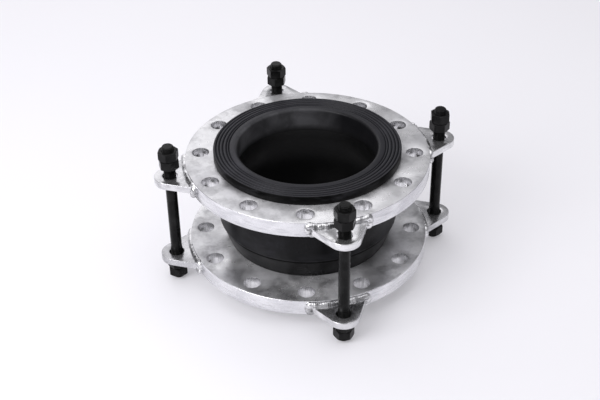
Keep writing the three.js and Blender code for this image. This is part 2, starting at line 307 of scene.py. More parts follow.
def plate(loops):
    """Vertices and faces of a flat plate. Each loop is (outline, profile): the outline has the material
    on its left, and the profile gives the edge's shape as (distance into the material, z) points, from
    the bottom up."""
    vertices, faces, rims = [], [], []
    for outline, profile in loops:
        normals = inward_normals(outline)
        count = len(outline)
        start = len(vertices)
        for inset, z in profile:
            for (x, y), (across, up) in zip(outline, normals):
                vertices.append((x + across * inset, y + up * inset, z))
        for row in range(len(profile) - 1):
            low = start + row * count
            high = low + count
            for i in range(count):
                j = (i + 1) % count
                faces.append((low + i, low + j, high + j, high + i))
        last = start + (len(profile) - 1) * count
        rims.append((list(range(start, start + count)), list(range(last, last + count))))
    for top in (False, True):
        rings = [rim[1] if top else rim[0] for rim in rims]
        faces += fill_between(vertices, rings, top)
    return vertices, faces


def fill_between(vertices, rings, facing_up):
    """Triangles that fill the flat area between closed rings of vertices."""
    order = [index for ring in rings for index in ring]
    points = [Vector(vertices[index][:2]) for index in order]
    edges = []
    start = 0
    for ring in rings:
        count = len(ring)
        edges += [(start + i, start + (i + 1) % count) for i in range(count)]
        start += count
    found = delaunay_2d_cdt(points, edges, [], 0, MERGE_DISTANCE)
    outlines = [[vertices[index][:2] for index in ring] for ring in rings]
    faces = []
    for corners in found[2]:
        x = sum(found[0][corner].x for corner in corners) / len(corners)
        y = sum(found[0][corner].y for corner in corners) / len(corners)
        if not is_inside(x, y, outlines):
            continue
        face = [order[found[3][corner][0]] for corner in corners]
        a, b, c = (Vector(vertices[index][:2]) for index in face)
        is_anticlockwise = (b - a).cross(c - a) > 0
        faces.append(tuple(face if is_anticlockwise == facing_up else reversed(face)))
    return faces


def rounded_edge(low, high, radius, steps=3):
    """Edge profile of a plate from z low to z high, with both corners rounded."""
    profile = []
    for i in range(steps + 1):
        angle = i / steps * math.pi / 2
        profile.append((radius * (1 - math.sin(angle)), low + radius * (1 - math.cos(angle))))
    for i in range(steps + 1):
        angle = i / steps * math.pi / 2
        profile.append((radius * (1 - math.cos(angle)), high - radius * (1 - math.sin(angle))))
    return profile


def moved(vertices, matrix):
    return [tuple(matrix @ Vector(vertex)) for vertex in vertices]


def turned(outline, angle):
    """A 2-D outline turned about the origin."""
    cosine, sine = math.cos(angle), math.sin(angle)
    return [(x * cosine - y * sine, x * sine + y * cosine) for x, y in outline]


def smoothstep(value):
    value = min(max(value, 0.0), 1.0)
    return value * value * (3 - 2 * value)


# ---------------------------------------------------------------------------------------------------
# Materials
# ---------------------------------------------------------------------------------------------------


class Shader:
    """A material and its node tree, with short calls for the nodes used here."""

    def __init__(self, name):
        self.material = bpy.data.materials.new(name)
        self.material.use_nodes = True
        self.tree = self.material.node_tree
        self.surface = self.tree.nodes["Principled BSDF"]
        self.place = self.node("ShaderNodeTexCoord").outputs["Object"]

    def node(self, kind, **settings):
        made = self.tree.nodes.new(kind)
        for key, value in settings.items():
            setattr(made, key, value)
        return made

    def feed(self, socket, value):
        """Sets a socket to a number or colour, or links another node's output to it."""
        if isinstance(value, bpy.types.NodeSocket):
            self.tree.links.new(value, socket)
        else:
            socket.default_value = value

    def set(self, socket_name, value):
        self.feed(self.surface.inputs[socket_name], value)

    def stretched(self, scale):
        made = self.node("ShaderNodeMapping")
        self.feed(made.inputs["Vector"], self.place)
        made.inputs["Scale"].default_value = scale
        return made.outputs["Vector"]

    def noise(self, scale, detail=4.0, roughness=0.55, vector=None, distortion=0.0):
        made = self.node("ShaderNodeTexNoise")
        self.feed(made.inputs["Vector"], vector or self.place)
        made.inputs["Scale"].default_value = scale
        made.inputs["Detail"].default_value = detail
        made.inputs["Roughness"].default_value = roughness
        made.inputs["Distortion"].default_value = distortion
        return made.outputs["Fac"]

    def cells(self, scale):
        made = self.node("ShaderNodeTexVoronoi")
        self.feed(made.inputs["Vector"], self.place)
        made.inputs["Scale"].default_value = scale
        return made.outputs["Color"]

    def math(self, operation, first, second=0.0):
        made = self.node("ShaderNodeMath", operation=operation)
        self.feed(made.inputs[0], first)
        self.feed(made.inputs[1], second)
        return made.outputs[0]

    def spread(self, value, low, high, to_low=0.0, to_high=1.0):
        """value between low and high, mapped to to_low and to_high and held there."""
        made = self.node("ShaderNodeMapRange")
        self.feed(made.inputs["Value"], value)
        made.inputs["From Min"].default_value = low
        made.inputs["From Max"].default_value = high
        made.inputs["To Min"].default_value = to_low
        made.inputs["To Max"].default_value = to_high
        return made.outputs["Result"]

    def blend(self, share, first, second):
        made = self.node("ShaderNodeMix", data_type="RGBA")
        self.feed(made.inputs[0], share)
        self.feed(made.inputs[6], first)
        self.feed(made.inputs[7], second)
        return made.outputs[2]

    def separate(self):
        made = self.node("ShaderNodeSeparateXYZ")
        self.feed(made.inputs[0], self.place)
        return made.outputs

    def bump(self, height, distance, strength=1.0, base=None):
        made = self.node("ShaderNodeBump")
        made.inputs["Strength"].default_value = strength
        made.inputs["Distance"].default_value = distance
        self.feed(made.inputs["Height"], height)
        if base is not None:
            self.feed(made.inputs["Normal"], base)
        return made.outputs["Normal"]


def grey(level, tint=0.0):
    """A grey, a little bluer where tint is above 0."""
    return (level * (1 - tint), level * (1 - tint), level, 1.0)


def galvanised_steel(name, smoothest, roughest, ripple, dullest):
    """Hot-dip zinc on rolled plate: pale, softly clouded and smeared, with a faint spangle. Its roughness
    runs from smoothest to roughest, and dullest is how metallic its dull zones are."""
    shader = Shader(name)
    clouds = shader.noise(11, detail=4, roughness=0.55, distortion=0.4)
    drawn_out = shader.stretched((0.9, 0.9, 1.6))
    smears = shader.noise(24, detail=6, roughness=0.67, vector=drawn_out, distortion=0.2)
    dull_zones = shader.noise(17, detail=3, roughness=0.5, distortion=0.3)
    fine_clouds = shader.noise(95, detail=3, roughness=0.6)
    pale = shader.blend(shader.spread(clouds, 0.38, 0.64), grey(0.86, 0.01), grey(0.60, 0.03))
    pale = shader.blend(shader.spread(smears, 0.49, 0.65, 0.0, 0.8), pale, grey(0.34, 0.03))
    pale = shader.blend(shader.spread(fine_clouds, 0.42, 0.70, 0.0, 0.30), pale, grey(0.48, 0.02))
    pale = shader.blend(shader.math("MULTIPLY", shader.cells(150), 0.10), pale, grey(0.95))
    shader.set("Base Color", pale)
    shader.set("Metallic", shader.spread(dull_zones, 0.36, 0.60, 0.90, dullest))
    roughness = shader.spread(clouds, 0.3, 0.7, smoothest, roughest)
    roughness = shader.math("ADD", roughness, shader.spread(fine_clouds, 0.35, 0.7, -0.04, 0.06))
    shader.set("Roughness", roughness)
    shader.set("Normal", shader.bump(shader.noise(20, detail=1.0, roughness=0.4), 0.0030, ripple))
    return shader.material


def rim_steel():
    """The turned rims of the flanges: paler than their faces, with faint streaks round them."""
    shader = Shader("galvanised_rim_looks")
    clouds = shader.noise(16, detail=4, roughness=0.55, vector=shader.stretched((1.0, 1.0, 2.5)))
    streaks = shader.noise(34, detail=4, roughness=0.6, vector=shader.stretched((1.0, 1.0, 8.0)))
    pale = shader.blend(shader.spread(clouds, 0.38, 0.66), grey(0.86, 0.02), grey(0.66, 0.04))
    pale = shader.blend(shader.spread(streaks, 0.50, 0.68, 0.0, 0.4), pale, grey(0.46, 0.04))
    shader.set("Base Color", pale)
    shader.set("Metallic", 0.95)
    shader.set("Roughness", shader.spread(streaks, 0.3, 0.7, 0.20, 0.34))
    shader.set("Normal", shader.bump(streaks, 0.0002, 0.4))
    return shader.material


def bored_steel():
    """The drilled walls of the bolt holes, with faint marks down the bore."""
    shader = Shader("bored_steel_looks")
    marks = shader.noise(300, detail=3, roughness=0.55, vector=shader.stretched((1.0, 1.0, 0.06)))
    pale = shader.blend(shader.spread(marks, 0.35, 0.7), grey(0.86, 0.01), grey(0.60, 0.02))
    shader.set("Base Color", pale)
    shader.set("Metallic", 0.97)
    shader.set("Roughness", shader.spread(marks, 0.3, 0.7, 0.22, 0.32))
    return shader.material


def weld_metal():
    """Zinc-coated weld: bright and finely pitted, with sooty patches."""
    shader = Shader("weld_metal_looks")
    lumps = shader.noise(220, detail=4, roughness=0.6)
    soot = shader.noise(60, detail=4, roughness=0.6, distortion=0.6)
    sooty = shader.blend(shader.spread(soot, 0.44, 0.62), grey(0.86, 0.01), grey(0.36, 0.02))
    shader.set("Base Color", sooty)
    shader.set("Metallic", 1.0)
    shader.set("Roughness", shader.spread(lumps, 0.35, 0.7, 0.20, 0.42))
    shader.set("Normal", shader.bump(lumps, 0.0006, 0.5))
    return shader.material


def black_steel():
    """Black-oxide steel: near black and satin, greyer where it has been handled."""
    shader = Shader("black_steel_looks")
    patches = shader.noise(60, detail=4, roughness=0.55)
    grain = shader.noise(900, detail=3, roughness=0.6)
    handled = shader.blend(shader.spread(patches, 0.42, 0.72), grey(0.0045), grey(0.014))
    shader.set("Base Color", handled)
    shader.set("Roughness", shader.spread(patches, 0.3, 0.7, 0.14, 0.26))
    shader.set("Specular IOR Level", 0.12)
    shader.set("Normal", shader.bump(grain, 0.00008, 0.5))
    return shader.material


def moulded_rubber():
    """The cover's rubber: satin black with soft patches of pale bloom and a fine matte grain, with painted
    shade that darkens the tapers and, darkest, the steps."""
    shader = Shader("moulded_rubber_looks")
    bloom = shader.noise(14, detail=5, roughness=0.6, distortion=0.8)
    wipe = shader.noise(40, detail=4, roughness=0.6, vector=shader.stretched((1.0, 1.0, 4.0)))
    grain = shader.noise(1400, detail=2, roughness=0.5)
    wiped = shader.spread(wipe, 0.3, 0.7, 0.3, 1.0)
    hazy = shader.math("MULTIPLY", shader.spread(bloom, 0.46, 0.72), wiped)
    from_middle = shader.math("ABSOLUTE", shader.math("SUBTRACT", shader.separate()[2], MIDDLE_Z))
    from_step = shader.math("ABSOLUTE", shader.math("SUBTRACT", from_middle, STEP_MIDDLE_Z))
    # Painted shade: the step grooves are painted near black and matte, in place of the shade that falls in
    # them.
    clear_of_painted_step_shade = shader.spread(from_step, 0.5 * STEP_WIDTH, 0.5 * STEP_WIDTH + 0.8 * MM)
    # Painted shade: the tapers are painted darker, in place of the shade on them.
    painted_taper_shade = shader.spread(from_middle, BAND_HALF_HEIGHT, BAND_HALF_HEIGHT + STEP_WIDTH, 0.0, 0.75)
    satin = shader.blend(hazy, grey(0.0050, 0.15), grey(0.026, 0.15))
    satin = shader.blend(painted_taper_shade, satin, grey(0.0012))
    shader.set("Base Color", shader.blend(clear_of_painted_step_shade, grey(0.0010), satin))
    gloss = shader.spread(bloom, 0.3, 0.7, 0.24, 0.40)
    shader.set("Roughness", shader.blend(clear_of_painted_step_shade, grey(0.75), gloss))
    shader.set("Specular IOR Level", 0.13)
    waves = shader.bump(wipe, 0.0004, 0.25)
    shader.set("Normal", shader.bump(grain, 0.00005, 0.6, waves))
    return shader.material


def scuffed_rubber():
    """The rims of the lips: dull black with sparse pale scuffs."""
    shader = Shader("scuffed_rubber_looks")
    drawn_out = shader.stretched((1.0, 1.0, 3.5))
    scuffs = shader.noise(22, detail=5, roughness=0.6, vector=drawn_out, distortion=0.4)
    scuffed = shader.blend(shader.spread(scuffs, 0.50, 0.72), grey(0.003), grey(0.038, 0.10))
    shader.set("Base Color", scuffed)
    shader.set("Roughness", shader.spread(scuffs, 0.4, 0.7, 0.34, 0.5))
    shader.set("Specular IOR Level", 0.05)
    return shader.material


def dust_and_painted_light_rubber():
    """The liner's rubber: satin on the lips and dull in the bore, with a painted pool of light on the
    back-left side of the band just inside each mouth, laid on as patchy chalky dust."""
    shader = Shader("dust_and_painted_light_rubber_looks")
    bloom = shader.noise(14, detail=5, roughness=0.6, distortion=0.8)
    wipe = shader.noise(19, detail=4, roughness=0.55, distortion=0.9)
    grain = shader.noise(1400, detail=2, roughness=0.5)
    axes = shader.separate()
    radius = shader.math("SQRT", shader.math("ADD", shader.math("POWER", axes[0], 2.0),
                                             shader.math("POWER", axes[1], 2.0)))
    from_middle = shader.math("ABSOLUTE", shader.math("SUBTRACT", axes[2], MIDDLE_Z))
    inside = shader.spread(radius, BORE_RADIUS + 1.0 * MM, BORE_RADIUS + 6.0 * MM, 1.0, 0.0)
    near_mouth = shader.spread(from_middle, FLANGE_INNER_Z, FLANGE_INNER_Z + MOUTH_BAND_FADE)
    towards_back = shader.math("ADD", shader.math("MULTIPLY", axes[0], math.cos(LIT_SIDE_ANGLE)),
                               shader.math("MULTIPLY", axes[1], math.sin(LIT_SIDE_ANGLE)))
    # Painted light: the pool of light on the back-left of each mouth band.
    painted_light_side = shader.spread(towards_back, 0.35 * BORE_RADIUS, 0.90 * BORE_RADIUS, 0.05, 1.0)
    wiped = shader.spread(wipe, 0.34, 0.60, 0.45, 1.0)
    patchy = shader.math("MULTIPLY", wiped, painted_light_side)
    # Patchy dust and painted light together, in the band just inside each mouth.
    dust_and_painted_light = shader.math("MULTIPLY", shader.math("MULTIPLY", inside, near_mouth), patchy)
    lip_face = shader.math("MULTIPLY", near_mouth, shader.math("SUBTRACT", 1.0, inside))
    bore = shader.blend(near_mouth, grey(0.004), grey(0.007, 0.15))
    bloomed = shader.spread(bloom, 0.46, 0.72, 0.0, 0.8)
    satin = shader.blend(bloomed, grey(0.024, 0.15), grey(0.044, 0.15))
    plain = shader.blend(lip_face, bore, satin)
    # Painted light: the pale patchy pool on the back-left of each mouth band.
    shader.set("Base Color", shader.blend(dust_and_painted_light, plain, grey(0.105, 0.06)))
    shader.set("Roughness", shader.math("ADD", shader.spread(bloom, 0.3, 0.7, 0.30, 0.42),
                                        shader.math("MULTIPLY", dust_and_painted_light, 0.25)))
    shader.set("Specular IOR Level", 0.14)
    waves = shader.bump(wipe, 0.0004, 0.2)
    shader.set("Normal", shader.bump(grain, 0.00005, 0.6, waves))
    return shader.material


def nylon_cord():
    """Rubber-coated tyre cord laid in two crossing directions."""
    shader = Shader("nylon_cord_looks")
    axes = shader.separate()
    angle = shader.math("ARCTAN2", axes[1], axes[0])
    around = shader.math("MULTIPLY", angle, 300.0)
    along = shader.math("MULTIPLY", axes[2], 2200.0)
    one_way = shader.math("SINE", shader.math("ADD", around, along))
    other_way = shader.math("SINE", shader.math("SUBTRACT", around, along))
    weave = shader.math("MAXIMUM", one_way, other_way)
    shader.set("Base Color", shader.blend(shader.spread(weave, -0.4, 0.9), (0.05, 0.04, 0.03, 1.0),
                                          (0.42, 0.33, 0.20, 1.0)))
    shader.set("Roughness", 0.8)
    shader.set("Normal", shader.bump(weave, 0.0004, 0.8))
    return shader.material


def bead_wire():
    """Brass-washed steel wire, wound into a ring."""
    shader = Shader("bead_wire_looks")
    tarnish = shader.noise(180, detail=4)
    shader.set("Base Color", shader.blend(shader.spread(tarnish, 0.4, 0.7), (0.50, 0.42, 0.30, 1.0),
                                          (0.30, 0.27, 0.24, 1.0)))
    shader.set("Metallic", 1.0)
    shader.set("Roughness", shader.spread(tarnish, 0.3, 0.7, 0.28, 0.5))
    return shader.material


GALVANISED = galvanised_steel("galvanised_plate_looks", 0.25, 0.40, ripple=0.35, dullest=0.50)
GALVANISED_LUG = galvanised_steel("galvanised_lug_looks", 0.17, 0.29, ripple=0.12, dullest=0.94)
GALVANISED_RIM = rim_steel()
BORED = bored_steel()
WELD = weld_metal()
BLACK = black_steel()
RUBBER = moulded_rubber()
DUST_AND_PAINTED_LIGHT_RUBBER = dust_and_painted_light_rubber()
SCUFFED_RUBBER = scuffed_rubber()
CORD = nylon_cord()
WIRE = bead_wire()


def dress(piece, material, nodes):
    """Gives a piece its material and slot, and hides the CAD nodes it stands for."""
    piece.data.materials.append(material)
    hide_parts(*nodes)


UPRIGHT_NORMAL_Z = 0.9


def paint_walls(piece, material, is_painted):
    """Gives a piece's upright faces a further material, where is_painted(radius) says so."""
    piece.data.materials.append(material)
    for face in piece.data.polygons:
        radius = math.hypot(face.center.x, face.center.y)
        if abs(face.normal.z) < UPRIGHT_NORMAL_Z and is_painted(radius):
            face.material_index = len(piece.data.materials) - 1


# ---------------------------------------------------------------------------------------------------
# Bellows
# ---------------------------------------------------------------------------------------------------


def inner_radius(z):
    """Radius of the bore wall at a height above the middle plane."""
    share = math.cos(min(abs(z) / FLANGE_INNER_Z, 1.0) * math.pi / 2)
    return BORE_RADIUS + (INNER_CROWN_RADIUS - BORE_RADIUS) * max(share, 0.0) ** INNER_WAVE_POWER


def outer_radius(z):
    """Radius of the outside: a raised band round the middle, then a taper to each flange."""
    if abs(z) <= BAND_HALF_HEIGHT:
        return BAND_RADIUS + BAND_CROWN * (1 - (z / BAND_HALF_HEIGHT) ** 2)
    share = min((abs(z) - BAND_HALF_HEIGHT) / (FLANGE_INNER_Z - BAND_HALF_HEIGHT), 1.0)
    taper = TAPER_TOP_RADIUS + (ARCH_FOOT_RADIUS - TAPER_TOP_RADIUS) * share
    return taper + SHOULDER_BULGE * math.sin(share * math.pi)


def wall_radius(z, share):
    """Radius of the surface that lies a share of the way through the wall."""
    plain = min(outer_radius(z), BAND_RADIUS - STEP_DEPTH)
    return inner_radius(z) + (plain - inner_radius(z)) * share


def wall_heights():
    """Heights from the middle plane up to the flange, closer together near it."""
    return [FLANGE_INNER_Z * math.sin(i / WALL_STEPS * math.pi / 2) for i in range(WALL_STEPS + 1)]


def wall_line(share, offset):
    """A surface inside the wall, from the middle plane up into the neck."""
    line = [(wall_radius(z, share) + offset, z) for z in wall_heights()]
    line.append((BORE_RADIUS + (NECK_RADIUS - BORE_RADIUS) * share + offset, NECK_START_Z))
    return line


def mirrored(inner_line, outer_line):
    """A full anticlockwise outline from the upper halves of its bore side and its outside."""
    below_inner = [(radius, -z) for radius, z in inner_line[1:]]
    below_outer = [(radius, -z) for radius, z in outer_line[1:]]
    outline = list(reversed(below_inner)) + inner_line + list(reversed(outer_line)) + below_outer
    outline.reverse()
    return [(radius, z + MIDDLE_Z) for radius, z in outline]


def arc(centre, radius, start, end, steps):
    """Points on an arc, with angles in degrees."""
    points = []
    for i in range(steps + 1):
        angle = math.radians(start + (end - start) * i / steps)
        points.append((centre[0] + radius * math.cos(angle), centre[1] + radius * math.sin(angle)))
    return points


def sealing_face_line():
    """From the throat over its rounded edge and across the ridges to the rim."""
    line = [(BORE_RADIUS, HALF_LENGTH - rounds * BORE_EDGE_ROUND) for rounds in (4, 2)]
    edge_centre = (BORE_RADIUS + BORE_EDGE_ROUND, HALF_LENGTH - BORE_EDGE_ROUND)
    line += arc(edge_centre, BORE_EDGE_ROUND, 180, 90, 8)
    for radius in GROOVE_RADII:
        for i in range(GROOVE_POINTS):
            across = 2 * i / (GROOVE_POINTS - 1) - 1
            depth = GROOVE_DEPTH * (0.5 + 0.5 * math.cos(across * math.pi))
            line.append((radius + across * GROOVE_HALF_WIDTH, HALF_LENGTH - depth))
    rim_centre = (LIP_RADIUS - LIP_EDGE_ROUND, HALF_LENGTH - LIP_EDGE_ROUND)
    line += arc(rim_centre, LIP_EDGE_ROUND, 90, 0, 6)
    return line


def liner_outline():
    """The liner: bore wall and sealing face inside, and the surface it shares with the plies outside."""
    bore = [(inner_radius(z), z) for z in wall_heights()]
    back = wall_line(LINER_SHARE, -GAP / 2)
    back += [(NECK_LINER_RADIUS - GAP / 2, LINER_BACK_Z), (LIP_RADIUS, LINER_BACK_Z)]
    return mirrored(bore + sealing_face_line(), back)


def plies_outline():
    """The cord plies, between the liner and the cover, turned out behind the sealing faces."""
    bore = wall_line(LINER_SHARE, GAP / 2)
    bore += [(NECK_LINER_RADIUS + GAP / 2, PLIES_TOP_Z), (PLIES_END_RADIUS, PLIES_TOP_Z)]
    back = wall_line(PLY_SHARE, -GAP / 2)
    back += [(NECK_PLY_RADIUS - GAP / 2, PLY_BACK_Z), (PLIES_END_RADIUS, PLY_BACK_Z)]
    return mirrored(bore, back)


def cover_outside_line():
    """The outside from the middle plane up: raised band, step, taper, neck, bead and lip back."""
    band_heights = [BAND_HALF_HEIGHT * i / BAND_STEPS for i in range(BAND_STEPS + 1)]
    line = [(outer_radius(z), z) for z in band_heights]
    step_floor = BAND_RADIUS - STEP_DEPTH
    line.append((BAND_RADIUS - 0.4 * MM, BAND_HALF_HEIGHT + 0.1 * STEP_WIDTH))
    line.append((step_floor + 0.3 * MM, BAND_HALF_HEIGHT + 0.2 * STEP_WIDTH))
    line.append((step_floor, BAND_HALF_HEIGHT + 0.4 * STEP_WIDTH))
    line.append((step_floor, BAND_HALF_HEIGHT + 0.75 * STEP_WIDTH))
    start = BAND_HALF_HEIGHT + STEP_WIDTH
    end = FLANGE_INNER_Z - GAP - ARCH_FOOT_ROUND
    taper_heights = [start + (end - start) * i / TAPER_STEPS for i in range(TAPER_STEPS + 1)]
    line += [(outer_radius(z), z) for z in taper_heights]
    foot_centre = (outer_radius(end) - ARCH_FOOT_ROUND, end)
    line += arc(foot_centre, ARCH_FOOT_ROUND, 20, 90, 5)
    seat = FLANGE_OUTER_Z + GAP
    line.append((NECK_RADIUS, FLANGE_INNER_Z - GAP))
    line.append((NECK_RADIUS, FLANGE_OUTER_Z - BEAD_SEAT_DEPTH + GAP))
    line.append((NECK_RADIUS + BEAD_SEAT_DEPTH - GAP, seat))
    line.append((LIP_RADIUS - LIP_BACK_CORNER, seat))
    line.append((LIP_RADIUS, seat + LIP_BACK_CORNER))
    return line


def cover_outline():
    """The cover, with a square pocket for the bead ring at each end."""
    pocket = WIRE_RADIUS + GAP
    bore = wall_line(PLY_SHARE, GAP / 2)
    bore += [
        (NECK_PLY_RADIUS + GAP / 2, WIRE_MIDDLE_Z - pocket),
        (WIRE_MIDDLE_RADIUS + pocket, WIRE_MIDDLE_Z - pocket),
        (WIRE_MIDDLE_RADIUS + pocket, PLY_BACK_Z - GAP),
        (PLIES_END_RADIUS + GAP, PLY_BACK_Z - GAP),
        (PLIES_END_RADIUS + GAP, LINER_BACK_Z - SEAM),
        (LIP_RADIUS, LINER_BACK_Z - SEAM),
    ]
    return mirrored(bore, cover_outside_line())


def wire_ring(side):
    """A bead ring: a rope of six strands wound round and round."""
    def section(angle):
        outline = []
        for i in range(WIRE_SECTION_POINTS):
            around = i / WIRE_SECTION_POINTS * math.tau
            lobe = abs(math.sin(3 * around + WIRE_TURNS * angle))
            radius = WIRE_RADIUS * (1 - WIRE_HOLLOW + WIRE_HOLLOW * lobe)
            outline.append((WIRE_MIDDLE_RADIUS + radius * math.cos(around),
                            MIDDLE_Z + side * WIRE_MIDDLE_Z + radius * math.sin(around)))
        return outline
    return revolve(section, RUBBER_SEGMENTS)


def blended_layer(name, outline, material, node):
    """A layer of the bellows: one revolved mesh from end to end, with scuffed rubber on its lip rims and
    its transform baked in.
    """
    piece = make_object(name, *revolve(lambda angle: outline, RUBBER_SEGMENTS), sharp_degrees=50)
    dress(piece, material, [node])
    paint_walls(piece, SCUFFED_RUBBER, lambda radius: radius > LIP_RADIUS - PAINT_MARGIN)
    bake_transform(piece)


def build_bellows():
    blended_layer("rubber_liner", liner_outline(), DUST_AND_PAINTED_LIGHT_RUBBER, "inner_liner")
    blended_layer("tyre_cord_plies", plies_outline(), CORD, "cord_plies")
    blended_layer("rubber_cover", cover_outline(), RUBBER, "outer_cover")
    for end, side in (("lower", -1), ("upper", 1)):
        ring = make_object(f"{end}_wire_ring", *wire_ring(side), sharp_degrees=80)
        dress(ring, WIRE, [f"{end}_bead_ring"])
        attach(ring, f"{end}_flange")


# ---------------------------------------------------------------------------------------------------
# Flanges and lugs
# ---------------------------------------------------------------------------------------------------


def flange_plate(side):
    """A drilled backing flange, its bore chamfered at the outer face as a seat for the bead."""
    low = MIDDLE_Z + min(side * FLANGE_INNER_Z, side * FLANGE_OUTER_Z)
    high = MIDDLE_Z + max(side * FLANGE_INNER_Z, side * FLANGE_OUTER_Z)
    bore_profile = [
        (FLANGE_EDGE, low),
        (0.0, low + FLANGE_EDGE),
        (0.0, high - BEAD_SEAT_DEPTH),
        (BEAD_SEAT_DEPTH, high),
    ]
    if side < 0:
        bore_profile = [(inset, low + high - z) for inset, z in reversed(bore_profile)]
    loops = [
        (circle(FLANGE_RADIUS, RIM_SEGMENTS), rounded_edge(low, high, FLANGE_EDGE)),
        (circle(FLANGE_BORE_RADIUS, RIM_SEGMENTS, hole=True), bore_profile),
    ]
    for hole in range(BOLT_HOLES):
        angle = (hole + 0.5) / BOLT_HOLES * math.tau
        centre = (BOLT_CIRCLE_RADIUS * math.cos(angle), BOLT_CIRCLE_RADIUS * math.sin(angle))
        outline = circle(BOLT_HOLE_RADIUS, HOLE_SEGMENTS, centre, hole=True)
        loops.append((outline, rounded_edge(low, high, HOLE_EDGE, steps=2)))
    return plate(loops)


def lug_outline():
    """A lug in plan, pointing along +X: foot on the rim, straight flanks, round tip about the rod."""
    foot_x = math.sqrt(FLANGE_RADIUS ** 2 - LUG_HALF_WIDTH ** 2)
    along = ROD_CIRCLE_RADIUS - foot_x
    reach = math.hypot(along, LUG_HALF_WIDTH)
    flank = math.asin(LUG_TIP_RADIUS / reach) - math.atan2(LUG_HALF_WIDTH, along)
    tip = flank + math.pi / 2
    outline = []
    for i in range(LUG_TIP_STEPS + 1):
        angle = -tip + 2 * tip * i / LUG_TIP_STEPS
        outline.append((ROD_CIRCLE_RADIUS + LUG_TIP_RADIUS * math.cos(angle),
                        LUG_TIP_RADIUS * math.sin(angle)))
    foot_angle = math.asin(LUG_HALF_WIDTH / FLANGE_RADIUS)
    for i in range(LUG_FOOT_STEPS + 1):
        angle = foot_angle - 2 * foot_angle * i / LUG_FOOT_STEPS
        outline.append((FLANGE_RADIUS * math.cos(angle), FLANGE_RADIUS * math.sin(angle)))
    return outline


def lug_plate(side, index):
    """A drilled lug on the lower (side -1) or upper (side 1) flange."""
    turn = index / RODS * math.tau
    low = MIDDLE_Z + side * LUG_MIDDLE_Z - LUG_HALF_THICKNESS
    high = low + 2 * LUG_HALF_THICKNESS
    drilled = circle(LUG_HOLE_RADIUS, HOLE_SEGMENTS, (ROD_CIRCLE_RADIUS, 0.0), hole=True)
    return plate([
        (turned(lug_outline(), turn), rounded_edge(low, high, LUG_EDGE)),
        (turned(drilled, turn), rounded_edge(low, high, HOLE_EDGE, steps=2)),
    ])


def weld_path():
    """Points round a lug's foot as (distance round the rim, height, outward direction in that plane)."""
    flat_width = LUG_HALF_WIDTH + WELD_SIDE_MARGIN - WELD_PATH_CORNER
    flat_height = LUG_HALF_THICKNESS + WELD_TOP_MARGIN - WELD_PATH_CORNER
    path = []
    corners = [(1, 1, 0), (-1, 1, 90), (-1, -1, 180), (1, -1, 270)]
    for x_sign, z_sign, start in corners:
        for i in range(WELD_CORNER_STEPS + 1):
            angle = math.radians(start + 90 * i / WELD_CORNER_STEPS)
            out = (math.cos(angle), math.sin(angle))
            across = x_sign * flat_width + WELD_PATH_CORNER * out[0]
            height = z_sign * flat_height + WELD_PATH_CORNER * out[1]
            path.append((across, height, out))
        long_run = start in (0, 180)
        length = 2 * (flat_width if long_run else flat_height)
        steps = max(2, int(length / MM * WELD_STEPS_PER_MM))
        direction = (-out[1], out[0])
        for i in range(1, steps):
            step = length * i / steps
            path.append((across + direction[0] * step, height + direction[1] * step, out))
    return path


def weld_bead(side, index):
    """A lumpy bead round a lug's foot, swollen and blobby at its corners."""
    turn = index / RODS * math.tau
    middle = MIDDLE_Z + side * LUG_MIDDLE_Z
    vertices = []
    path = weld_path()
    travelled = 0.0
    for step, (across, height, out) in enumerate(path):
        before = path[step - 1]
        travelled += math.hypot(across - before[0], height - before[1])
        to_corner = LUG_HALF_WIDTH - abs(across)
        cornering = smoothstep(1 - to_corner / WELD_CORNER_REACH)
        swell = WELD_CORNER_SWELL * cornering
        lumpiness = WELD_LUMP + (WELD_CORNER_LUMP - WELD_LUMP) * cornering
        ripple = WELD_RIPPLE * abs(math.sin(travelled / WELD_RIPPLE_PITCH * math.pi))
        for i in range(WELD_SECTION_POINTS):
            around = i / WELD_SECTION_POINTS * math.tau
            probe = Vector(polar(FLANGE_RADIUS, turn + across / FLANGE_RADIUS, middle + height))
            probe += Vector((math.cos(around), math.sin(around), 0.0)) * WELD_LUMP_SIZE / 2
            lump = noise.noise(probe / WELD_LUMP_SIZE)
            lump += 0.5 * noise.noise(probe / WELD_LUMP_SIZE * WELD_FINER_LUMPS)
            radius = WELD_RADIUS + swell + ripple + lump * lumpiness
            sideways = radius * math.sin(around)
            angle = turn + (across + out[0] * sideways) / FLANGE_RADIUS
            reach = FLANGE_RADIUS + WELD_STAND_OFF + radius * math.cos(around)
            vertices.append(polar(reach, angle, middle + height + out[1] * sideways))
    faces = []
    rows = len(path)
    for row in range(rows):
        here = row * WELD_SECTION_POINTS
        there = (row + 1) % rows * WELD_SECTION_POINTS
        for i in range(WELD_SECTION_POINTS):
            j = (i + 1) % WELD_SECTION_POINTS
            faces.append((here + i, here + j, there + j, there + i))
    return vertices, faces


def is_bolt_hole(radius):
    return abs(radius - BOLT_CIRCLE_RADIUS) < BOLT_HOLE_RADIUS + PAINT_MARGIN


def is_rim(radius):
    return radius > FLANGE_RADIUS - FLANGE_EDGE


def build_steel_ends():
    for end, side in (("lower", -1), ("upper", 1)):
        ring = make_object(f"{end}_flange_plate", *flange_plate(side), flat_ends=True)
        dress(ring, GALVANISED, [f"{end}_flange"])
        paint_walls(ring, BORED, is_bolt_hole)
        paint_walls(ring, GALVANISED_RIM, is_rim)
        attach(ring, f"{end}_flange")
        for index in range(RODS):
            lug = make_object(f"{end}_lug_plate_{index + 1}", *lug_plate(side, index), flat_ends=True)
            dress(lug, GALVANISED_LUG, [f"{end}_lug_{index + 1}"])
            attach(lug, f"{end}_flange")
            bead = make_object(f"{end}_weld_bead_{index + 1}", *weld_bead(side, index), sharp_degrees=75)
            dress(bead, WELD, [f"{end}_lug_weld_{index + 1}"])
            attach(bead, f"{end}_flange")


